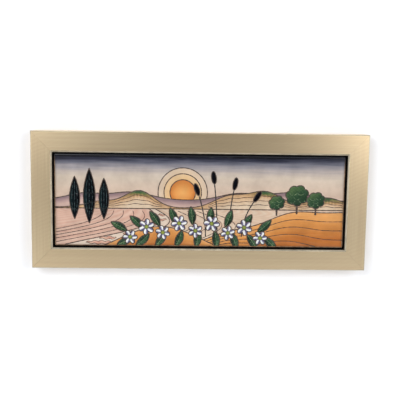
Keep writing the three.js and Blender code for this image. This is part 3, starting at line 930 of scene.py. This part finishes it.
def thread(points, ring, width, height, seed):
    """A half-round thread of slip along a line, with round ends and a hand's unevenness."""
    sides = 6
    count = len(points)
    if ring:
        ahead = np.roll(points, -1, axis=0) - np.roll(points, 1, axis=0)
    else:
        ahead = np.gradient(points, axis=0)
    ahead /= np.maximum(np.hypot(ahead[:, 0], ahead[:, 1]), 1e-9)[:, None]
    left = np.stack([-ahead[:, 1], ahead[:, 0]], axis=1)
    travel = np.arange(count) * STEP
    swell = 1 + 0.09 * np.sin(1.1 * travel + seed) + 0.06 * np.sin(2.9 * travel + 2.3 * seed)
    if not ring:
        from_end = np.minimum(travel, travel[::-1]) / (width / 2)
        swell *= np.sqrt(np.clip(1 - (1 - np.clip(from_end + 0.15, 0, 1)) ** 2, 0.02, 1))
    bend = np.linspace(0, math.pi, sides + 1)
    out = (np.cos(bend)[None, :] * width / 2) * swell[:, None]
    up = (np.sin(bend)[None, :] * height) * np.minimum(swell, 1.1)[:, None]
    across = sides + 1
    x = points[:, 0:1] + left[:, 0:1] * out
    z = points[:, 1:2] + left[:, 1:2] * out
    depth = TILE_FACE - SLIP_SINK + up * (1 + SLIP_SINK / height)
    verts = np.stack([x.ravel(), depth.ravel(), z.ravel()], axis=1)
    faces = []
    for i in range(count if ring else count - 1):
        a = i * across
        b = ((i + 1) % count) * across
        for k in range(across):
            on = (k + 1) % across
            faces.append((a + on, b + on, b + k, a + k))
    if not ring:
        faces.append(tuple(range(across - 1, -1, -1)))
        faces.append(tuple(range((count - 1) * across, count * across)))
    crest = np.tile(np.sin(bend), count)
    return verts, faces, crest


def slip(name, deep, crest_colour):
    """Dried slip under clear glaze: darker in its flanks and paler where it breaks on the crest."""
    material, tree, shader = surface(f"slip_{name}", deep)
    crest = add(tree, "Attribute", attribute_name="crest").outputs["Fac"]
    mottle = stretched_noise(tree, 1, 520, 520, detail=4)
    broken = spread(tree, mottle, 0.35, 1.1, 0.3, 0.7)
    share = add(tree, "Math", {0: crest, 1: broken}, operation="MULTIPLY")
    colour = ramp(tree, share.outputs[0], [(0.0, deep), (0.62, deep), (1.0, crest_colour)])
    tree.links.new(colour, shader.inputs["Base Color"])
    tree.links.new(spread(tree, mottle, 0.22, 0.42), shader.inputs["Roughness"])
    return material


SLIPS = {
    "brown": (srgb(42, 27, 20), srgb(92, 68, 50)),
    "ink": (srgb(4, 5, 8), srgb(20, 23, 30)),
    "teal": (srgb(18, 40, 42), srgb(42, 70, 70)),
    "moss": (srgb(86, 112, 76), srgb(134, 152, 104)),
    "lilac": (srgb(120, 114, 140), srgb(172, 168, 188)),
    "cream": (srgb(206, 196, 120), srgb(232, 226, 170)),
}
threads = {name: ([], [], []) for name in SLIPS}
line_points = []
for number, (order, points, closed, width, height, name) in enumerate(lines):
    for run, ring in visible_runs(order, evenly(points, closed), closed):
        verts, faces, crest = thread(run, ring, width, height, number * 1.7)
        all_verts, all_faces, all_crests = threads[name]
        start = sum(len(v) for v in all_verts)
        all_verts.append(verts)
        all_faces += [tuple(start + i for i in face) for face in faces]
        all_crests.append(crest)
        if height > FIRM_LINE:
            line_points.append(run)
for name, (verts, faces, crests) in threads.items():
    piece = place(np.concatenate(verts), faces, f"slip_lines_{name}", [slip(name, *SLIPS[name])])
    crest = piece.data.attributes.new("crest", "FLOAT", "POINT")
    crest.data.foreach_set("value", np.concatenate(crests))

# The glazes. Each colour is a sheet of glass that fills its areas, creeps up the slip lines round
# them and is a little domed between them. They are brushed on, so the tones run in streaks.
GLAZE_LIFT = 0.02
GLAZE_FILM = 0.1
GLAZE_CREEP = 0.26
GLAZE_DOME = 0.16
GRID_CLEAR = 0.4
line_tree = KDTree(sum(len(run) for run in line_points))
for index, (x, z) in enumerate(np.concatenate(line_points)):
    line_tree.insert((x, z, 0), index)
line_tree.balance()


def to_nearest_line(points):
    return np.array([line_tree.find((x, z, 0))[2] for x, z in points])


def glaze_map():
    """The tile's face in triangles, and for each one the nearest area that covers it."""
    pitch = 1.0
    rows = np.arange(-TILE_HEIGHT / 2, TILE_HEIGHT / 2, pitch * 0.866)
    columns = np.arange(-TILE_WIDTH / 2, TILE_WIDTH / 2, pitch)
    grid = np.array([(x + (r % 2) * pitch / 2, z) for r, z in enumerate(rows) for x in columns])
    grid = grid[inside(grid, np.array(slab_outline(GLAZE_INSET + GRID_CLEAR)))]
    grid = grid[to_nearest_line(grid) > GRID_CLEAR]
    corners = [Vector(p) for _, outline, _ in areas for p in outline]
    outlines = []
    start = 0
    for _, outline, _ in areas:
        outlines.append(list(range(start, start + len(outline))))
        start += len(outline)
    corners += [Vector(p) for p in grid]
    verts, _, faces, _, _, owners = delaunay_2d_cdt(corners, [], outlines, 0, 1e-5)
    found = [(face, max(own)) for face, own in zip(faces, owners) if 0 in own and len(face) == 3]
    return np.array(verts), np.array([f for f, _ in found]), np.array([o for _, o in found])


def brushed_glaze(name, stops, along=None, drift=0.12, gloss=0.12, shine=0.5):
    """A glossy glaze whose tone follows the wash painted on it, with brush streaks and pooling, and painted
    shade from the edge attribute that darkens it near the tile's edges.
    """
    material, tree, shader = surface(f"glaze_{name}", stops[0][1], {"Specular IOR Level": shine})
    wash = add(tree, "Attribute", attribute_name="wash").outputs["Fac"]
    if along is None:
        streak = stretched_noise(tree, 1, 240, 240, detail=5)
    else:
        streak = stretched_noise(tree, along, 22, 340, detail=5)
    pool = stretched_noise(tree, 1, 60, 60, detail=3)
    shift = spread(tree, streak, -drift, drift, 0.25, 0.75)
    tone = add(tree, "Math", {0: wash, 1: shift}, operation="ADD").outputs[0]
    colour = ramp(tree, tone, stops)
    # Painted shade: the edge attribute darkens the glaze near the tile's edges, where the frame's lip and
    # lining shade the recessed tile. Depth holds the pooling and this shade together.
    painted_edge_shade = add(tree, "Attribute", attribute_name="edge").outputs["Fac"]
    thickness = spread(tree, pool, 0.61, 0.78, 0.3, 0.7)
    depth = add(tree, "Math", {0: thickness, 1: painted_edge_shade}, operation="MULTIPLY").outputs[0]
    pooled_and_edge_shaded = add(tree, "HueSaturation", {"Value": depth, "Color": colour}).outputs[0]
    tree.links.new(pooled_and_edge_shaded, shader.inputs["Base Color"])
    tree.links.new(spread(tree, streak, gloss, gloss + 0.14), shader.inputs["Roughness"])
    bump = add(tree, "Bump", {"Height": pool, "Strength": 0.12, "Distance": 0.0004})
    tree.links.new(bump.outputs[0], shader.inputs["Normal"])
    return material


GLAZES = {
    "sky": brushed_glaze(
        "sky",
        [
            (0.5, srgb(214, 184, 164)),
            (0.62, srgb(220, 196, 176)),
            (0.75, srgb(216, 199, 181)),
            (0.815, srgb(196, 183, 174)),
            (0.86, srgb(164, 158, 160)),
            (0.9, srgb(126, 125, 135)),
            (0.93, srgb(92, 93, 107)),
            (0.955, srgb(46, 48, 63)),
            # Painted shade: the near-black last stop darkens the sky's navy in its top millimetre or two,
            # where the frame's top lip shades the tile. The navy stops below it are the sky glaze's own.
            (0.985, srgb(8, 9, 15)),
        ],
        along=0,
        drift=0.022,
    ),
    "outer_halo": brushed_glaze("outer_halo", [(0.6, srgb(236, 206, 170)), (1, srgb(224, 200, 176))]),
    "inner_halo": brushed_glaze("inner_halo", [(0.6, srgb(240, 196, 140)), (1, srgb(232, 198, 156))]),
    "sun": brushed_glaze(
        "sun", [(0, srgb(238, 176, 104)), (0.6, srgb(228, 154, 84)), (1, srgb(206, 124, 62))]
    ),
    "mauve": brushed_glaze(
        "mauve", [(0, srgb(142, 118, 122)), (0.5, srgb(186, 156, 150)), (1, srgb(212, 180, 166))], along=0
    ),
    "sand": brushed_glaze(
        "sand",
        [
            (0, srgb(48, 78, 52)),
            (0.14, srgb(88, 108, 66)),
            (0.3, srgb(160, 132, 88)),
            (0.48, srgb(204, 164, 122)),
            (0.7, srgb(220, 186, 150)),
            (1, srgb(226, 202, 174)),
        ],
        drift=0.09,
    ),
    "water": brushed_glaze(
        "water", [(0, srgb(222, 190, 170)), (0.5, srgb(230, 206, 186)), (1, srgb(236, 216, 196))], along=0
    ),
    "ripple": brushed_glaze("ripple", [(0, srgb(216, 158, 136)), (1, srgb(226, 182, 158))], along=0),
    "pink_field": brushed_glaze(
        "pink_field", [(0, srgb(214, 168, 148)), (1, srgb(226, 192, 172))], along=0
    ),
    "peach_field": brushed_glaze(
        "peach_field", [(0, srgb(220, 186, 160)), (1, srgb(228, 206, 182))], along=0
    ),
    "orange": brushed_glaze(
        "orange",
        [(0, srgb(232, 168, 102)), (0.3, srgb(220, 149, 80)), (1, srgb(190, 112, 51))],
        along=0,
        drift=0.16,
    ),
    "cypress": brushed_glaze(
        "cypress", [(0, srgb(2, 4, 8)), (0.6, srgb(6, 13, 18)), (1, srgb(18, 38, 40))], shine=0.25
    ),
    "crown": brushed_glaze(
        "crown", [(0, srgb(26, 42, 32)), (0.5, srgb(50, 80, 54)), (1, srgb(96, 122, 76))]
    ),
    "bulrush": brushed_glaze("bulrush", [(0, srgb(2, 3, 6)), (1, srgb(14, 15, 24))], shine=0.25),
    "leaf": brushed_glaze(
        "leaf",
        [(0, srgb(24, 42, 30)), (0.4, srgb(42, 70, 48)), (0.75, srgb(62, 94, 64)), (1, srgb(104, 130, 88))],
    ),
    "petals": brushed_glaze(
        "petals",
        [
            (0, srgb(252, 252, 248)),
            (0.35, srgb(206, 206, 216)),
            (0.7, srgb(128, 124, 152)),
            (1, srgb(84, 80, 116)),
        ],
        drift=0.08,
    ),
    "eye": brushed_glaze("eye", [(0, srgb(172, 176, 84)), (1, srgb(104, 122, 62))]),
}


def lay_glazes():
    places, triangles, owners = glaze_map()
    to_line = to_nearest_line(places)
    creep = GLAZE_CREEP * np.exp(-np.clip(to_line - 0.45, 0, None) / 0.5)
    dome = GLAZE_DOME * (1 - np.exp(-((to_line / 3.0) ** 2)))
    sway = np.sin(places[:, 0] * 0.35 + 1.3 * np.sin(places[:, 1] * 0.27))
    waver = 0.03 * sway * np.sin(places[:, 1] * 0.31)
    film = GLAZE_FILM + creep + dome + waver
    to_edge = np.minimum(
        TILE_WIDTH / 2 - np.abs(places[:, 0]), TILE_HEIGHT / 2 - np.abs(places[:, 1])
    ) - GLAZE_INSET
    film *= 0.3 + 0.7 * rise(to_edge, -0.3, 5.5)
    # Painted shade: edge darkens every glaze to 0.7 of its tone at the tile's edges, where the frame's lip
    # and lining shade the recessed tile. It is passed on as the edge attribute.
    edge = 0.7 + 0.3 * rise(to_edge, -0.4, 2.4)
    for name, material in GLAZES.items():
        verts, faces, washes, edges = [], [], [], []
        start = 0
        for number, (glaze, _, wash) in enumerate(areas):
            mine = triangles[owners == number]
            if glaze != name or not len(mine):
                continue
            used, local = np.unique(mine, return_inverse=True)
            spots = places[used]
            depth = TILE_FACE + GLAZE_LIFT + film[used]
            verts.append(np.stack([spots[:, 0], depth, spots[:, 1]], axis=1))
            faces += (local.reshape(-1, 3) + start).tolist()
            washes.append(np.clip(wash(spots[:, 0], spots[:, 1]), 0, 1))
            edges.append(edge[used])
            start += len(used)
        piece = place(np.concatenate(verts), faces, f"glaze_{name}", [material])
        for layer_name, values in (("wash", washes), ("edge", edges)):
            layer = piece.data.attributes.new(layer_name, "FLOAT", "POINT")
            layer.data.foreach_set("value", np.concatenate(values))


lay_glazes()

# Backing board. Brown hardboard, smooth towards the tile and with the mesh-like print of the press
# towards the wall. The CAD solid is flat and sawn as the real one is, so it only gets its finish.
def hardboard():
    material, tree, shader = surface("hardboard", srgb(132, 98, 66), {"Specular IOR Level": 0.2})
    fibres = stretched_noise(tree, 0, 260, 900, detail=6)
    cloud = stretched_noise(tree, 1, 14, 14, detail=3)
    brown = ramp(
        tree, fibres, [(0.3, srgb(94, 66, 42)), (0.52, srgb(134, 100, 68)), (0.72, srgb(160, 126, 90))]
    )
    tree.links.new(
        blended(tree, spread(tree, cloud, 0, 0.5, 0.4, 0.7), brown, srgb(112, 80, 54)),
        shader.inputs["Base Color"],
    )
    tree.links.new(spread(tree, fibres, 0.7, 0.9), shader.inputs["Roughness"])
    place_in = add(tree, "TexCoord").outputs["Object"]
    print_height = None
    for axis in ("X", "Z"):
        wave = add(
            tree, "TexWave", {"Vector": place_in, "Scale": 190.0, "Distortion": 0.8}, bands_direction=axis
        ).outputs["Fac"]
        if print_height is None:
            print_height = wave
        else:
            print_height = add(tree, "Math", {0: print_height, 1: wave}, operation="MULTIPLY").outputs[0]
    coarse = add(tree, "Bump", {"Height": print_height, "Strength": 0.6, "Distance": 0.0004})
    weave = {"Height": fibres, "Strength": 0.4, "Distance": 0.0002, "Normal": coarse.outputs[0]}
    fine = add(tree, "Bump", weave)
    tree.links.new(fine.outputs[0], shader.inputs["Normal"])
    return material


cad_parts["backing_board"].data.materials.clear()
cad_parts["backing_board"].data.materials.append(hardboard())

# Framer's points. Blunt strips of tinned steel, shot into slots in the rebate's side and lying over
# the board's edge to hold it in. Each has a rounded heel with a punched hole, to lever it up by.
def tinned_steel():
    material, tree, shader = surface("tinned_steel", srgb(196, 197, 199), {"Metallic": 1.0})
    roll = stretched_noise(tree, 0, 60, 900)
    spots = stretched_noise(tree, 1, 420, 420, detail=5)
    steel = ramp(tree, roll, [(0.3, srgb(170, 171, 174)), (0.7, srgb(208, 209, 211))])
    tree.links.new(
        blended(tree, spread(tree, spots, 0, 0.5, 0.6, 0.75), steel, srgb(138, 134, 130)),
        shader.inputs["Base Color"],
    )
    tree.links.new(spread(tree, spots, 0.24, 0.44), shader.inputs["Roughness"])
    bump = add(tree, "Bump", {"Height": roll, "Strength": 0.2, "Distance": 0.00005})
    tree.links.new(bump.outputs[0], shader.inputs["Normal"])
    return material


def framers_point(side, number, steel):
    """One point, drawn with its tip outward and turned to its side of the frame."""
    name = f"point_{side}_{number}"
    (left, right), (back, front), (low, high) = mm_box(name)
    long_side = side in ("top", "bottom")
    width = right - left if long_side else high - low
    length = high - low if long_side else right - left
    heel_round = 1.6
    hole = 0.9
    hole_place = 2.6
    ease = 0.08
    half = width / 2
    outline = [(half, length - half), (0, length), (-half, length - half)]
    outline += arc((heel_round - half, heel_round), heel_round, 180, 270, 5)
    outline += arc((half - heel_round, heel_round), heel_round, 270, 360, 5)
    rim = arc((0, hole_place), hole, 0, 345, 23)
    turn = {"top": 0, "left": 1, "bottom": 2, "right": 3}[side] * math.pi / 2
    heel = {"top": (0, low), "left": (right, 0), "bottom": (0, high), "right": (left, 0)}[side]
    at = ((left + right) / 2, heel[1]) if long_side else (heel[0], (low + high) / 2)
    shapes = [[tuple(p) for p in turned(shape, turn, at)] for shape in (outline, rim)]
    return flat_stock(shapes, back, front, ease, f"framers_{name}", [steel]), name


steel = tinned_steel()
for side, count in (("top", 3), ("bottom", 3), ("left", 1), ("right", 1)):
    for number in range(1, count + 1):
        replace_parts(*framers_point(side, number, steel))

# Hanger. A strip of brass-plated steel with teeth pressed along its lower edge. Its middle stands
# off the board, so that a nail's head goes behind the teeth, and a rivet holds each foot.
HANGER_FOOT = 7
HANGER_STEP = 1.3
TOOTH_PITCH = 2.6
TOOTH_DEPTH = 1.6
TEETH = 9


def plated_brass():
    material, tree, shader = surface("plated_brass", srgb(196, 164, 96), {"Metallic": 1.0})
    roll = stretched_noise(tree, 0, 50, 1100)
    tarnish = stretched_noise(tree, 1, 240, 240, detail=6)
    brass = ramp(tree, roll, [(0.3, srgb(180, 146, 80)), (0.7, srgb(212, 182, 116))])
    tree.links.new(
        blended(tree, spread(tree, tarnish, 0, 0.6, 0.52, 0.75), brass, srgb(122, 94, 52)),
        shader.inputs["Base Color"],
    )
    tree.links.new(spread(tree, tarnish, 0.2, 0.42), shader.inputs["Roughness"])
    bump = add(tree, "Bump", {"Height": roll, "Strength": 0.2, "Distance": 0.00006})
    tree.links.new(bump.outputs[0], shader.inputs["Normal"])
    return material


def hanger_strip(brass):
    (left, right), (back, front), (low, high) = mm_box("sawtooth_hanger")
    thickness = front - back - HANGER_STEP
    end_round = 1.2
    ease = 0.1
    outline = []
    for centre, start in (
        ((right - end_round, high - end_round), 0),
        ((left + end_round, high - end_round), 90),
        ((left + end_round, low + end_round), 180),
    ):
        outline += arc(centre, end_round, start, start + 90, 5)
    for tooth in range(TEETH):
        x = (tooth - TEETH / 2) * TOOTH_PITCH
        for share in (0.06, 0.44, 0.56, 0.94):
            depth = TOOTH_DEPTH * (1 - abs(2 * share - 1)) * 1.06
            outline.append((x + share * TOOTH_PITCH, low + depth))
    outline += arc((right - end_round, low + end_round), end_round, 270, 360, 5)
    bend = right - HANGER_FOOT
    middle = bend - HANGER_STEP
    scores = (-0.2, 0.1, 0.5, 0.9, 1.2)
    bends = [sign * (middle + (bend - middle) * share) for sign in (-1, 1) for share in scores]

    def stand_off(x):
        return HANGER_STEP * (1 - float(rise(abs(x), middle - 0.2, bend + 0.2)))

    return flat_stock(
        [outline], front - thickness, front, ease, "hanger_strip", [brass], bends, stand_off
    )


def rivet(side, brass):
    """A tubular rivet: a domed head with a small dimple, on a shank that goes into the board."""
    name = f"hanger_rivet_{side}"
    (left, right), (back, front), (low, high) = mm_box(name)
    radius = (right - left) / 2
    shank = 1.2
    head = 0.8
    seat = back + head
    profile = [(0, front), (shank - 0.2, front), (shank, front - 0.2), (shank, seat), (radius - 0.1, seat)]
    profile += [(radius, seat - 0.08), (radius * 0.94, seat - 0.3)]
    profile += [(radius * 0.74, back + 0.13), (radius * 0.5, back)]
    profile += [(radius * 0.28, back + 0.06), (0, back + 0.12)]
    sides = 32
    points = []
    for ring_radius, depth in profile:
        for x, z in circle(max(ring_radius, 0.01), sides):
            points.append(((left + right) / 2 + x, depth, (low + high) / 2 + z))
    faces = []
    for ring in range(len(profile) - 1):
        for i in range(sides):
            a = ring * sides + i
            b = ring * sides + (i + 1) % sides
            faces.append((a, a + sides, b + sides, b))
    faces.append(tuple(range(sides)))
    faces.append(tuple(range(len(points) - 1, len(points) - sides - 1, -1)))
    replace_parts(place(points, faces, f"{name}_turned", [brass]), name)


brass = plated_brass()
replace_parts(hanger_strip(brass), "sawtooth_hanger")
for side in ("left", "right"):
    rivet(side, brass)
